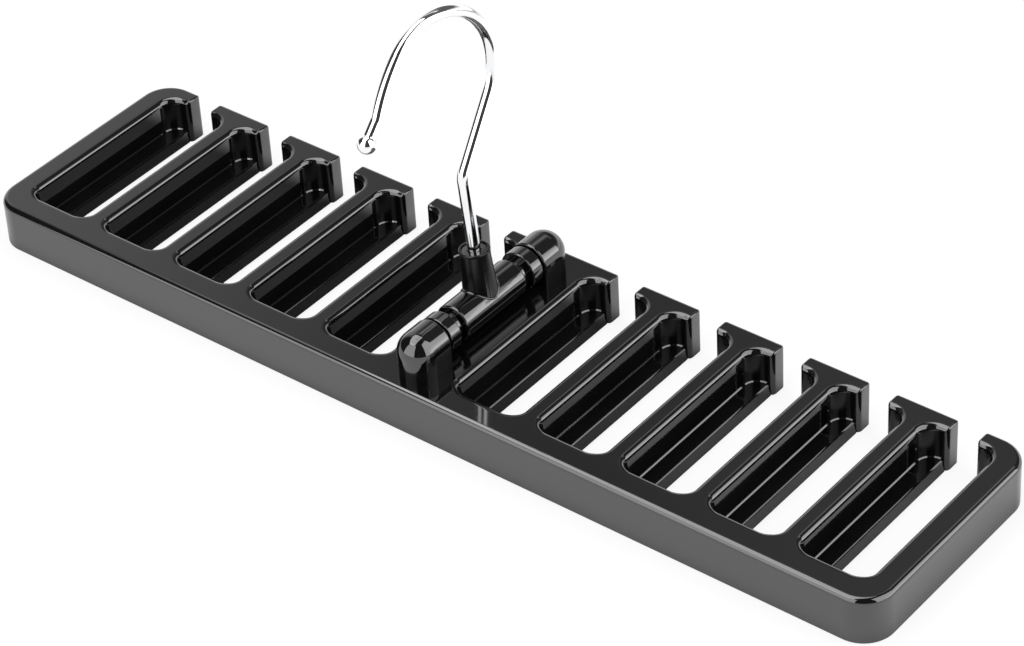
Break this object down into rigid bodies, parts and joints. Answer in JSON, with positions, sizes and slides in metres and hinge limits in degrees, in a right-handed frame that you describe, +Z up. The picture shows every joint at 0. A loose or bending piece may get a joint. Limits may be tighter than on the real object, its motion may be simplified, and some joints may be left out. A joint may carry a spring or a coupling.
{
  "type": "belt and scarf hanger",
  "caption": "Slim black plastic comb hanger with open-mouthed slots for belts and scarves, hung from a folding, swivelling chrome wire hook.",
  "frame": {"origin": "middle of the comb's underside, the centre of the whole part's footprint", "axes": "+X along the comb to its right end, +Y to the rear where the slots' mouths open, +Z up towards the hook"},
  "size_m": [0.33, 0.081, 0.1209],
  "materials": {
    "gloss_black": "glossy black injection-moulded plastic",
    "satin_black": "black injection-moulded plastic, slightly less glossy",
    "chrome": "bright chrome-plated steel wire",
    "zinc_steel": "zinc-plated steel"
  },
  "bodies": {
    "comb": {"comb_shell": "gloss_black", "base_plate": "satin_black", "ear_front": "gloss_black", "ear_rear": "gloss_black", "collar_front": "gloss_black", "collar_rear": "gloss_black", "axle_pin": "zinc_steel", "ear_screw_front": "zinc_steel", "ear_screw_rear": "zinc_steel", "base_screw_left_front": "zinc_steel", "base_screw_right_front": "zinc_steel", "base_screw_left_rear": "zinc_steel", "base_screw_right_rear": "zinc_steel"},
    "pivot_block": {"t_block": "gloss_black", "stem_bush": "chrome"},
    "hook": {"hook_wire": "chrome", "hook_ball": "chrome", "shank_collar": "zinc_steel"}
  },
  "joints": [
    {"name": "hook_fold", "type": "hinge", "parent": "comb", "child": "pivot_block", "pos_m": [0, 0, 0.0222], "axis": [0, 1, 0], "range_deg": [-84.5, 95.5]},
    {"name": "hook_swivel", "type": "hinge", "parent": "pivot_block", "child": "hook", "pos_m": [0, 0, 0.0222], "axis": [-0.0958, 0, 0.9954], "range_deg": [-180, 180]}
  ]
}
